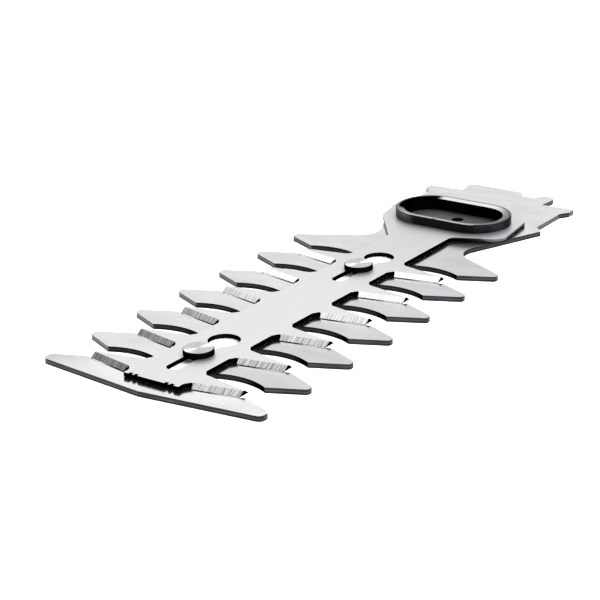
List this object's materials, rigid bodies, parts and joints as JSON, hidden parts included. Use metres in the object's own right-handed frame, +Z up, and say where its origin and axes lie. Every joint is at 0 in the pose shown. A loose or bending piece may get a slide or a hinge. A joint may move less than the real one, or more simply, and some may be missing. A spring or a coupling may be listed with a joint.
{
  "type": "shrub shear blade",
  "caption": "Flat double-sided cutting blade for a handheld shrub shear: a ground upper comb slides to and fro on a fixed lower comb, driven through an oval ring.",
  "frame": {"origin": "centre of the pilot hole, on the drive axis, at the underside of the lower blade", "axes": "+X along the blade to its tip, +Z up through the blades, +Y to the side that the tail's notch is on"},
  "size_m": [0.183, 0.0682, 0.0054],
  "materials": {
    "lower_steel": "fine ground",
    "upper_steel": "fine ground, with coarsely ground bevels",
    "ring_steel": "blackened sintered steel with a ground rim",
    "stud_steel": "turned"
  },
  "bodies": {
    "fixed_comb": {"lower_blade": "lower_steel", "front_guide_stud": "stud_steel", "rear_guide_stud": "stud_steel"},
    "sliding_comb": {"upper_blade": "upper_steel", "drive_ring": "ring_steel"}
  },
  "joints": [
    {"name": "blade_slide", "type": "slide", "parent": "fixed_comb", "child": "sliding_comb", "axis": [1, 0, 0], "range_m": [-0.00965, 0.00435]}
  ]
}
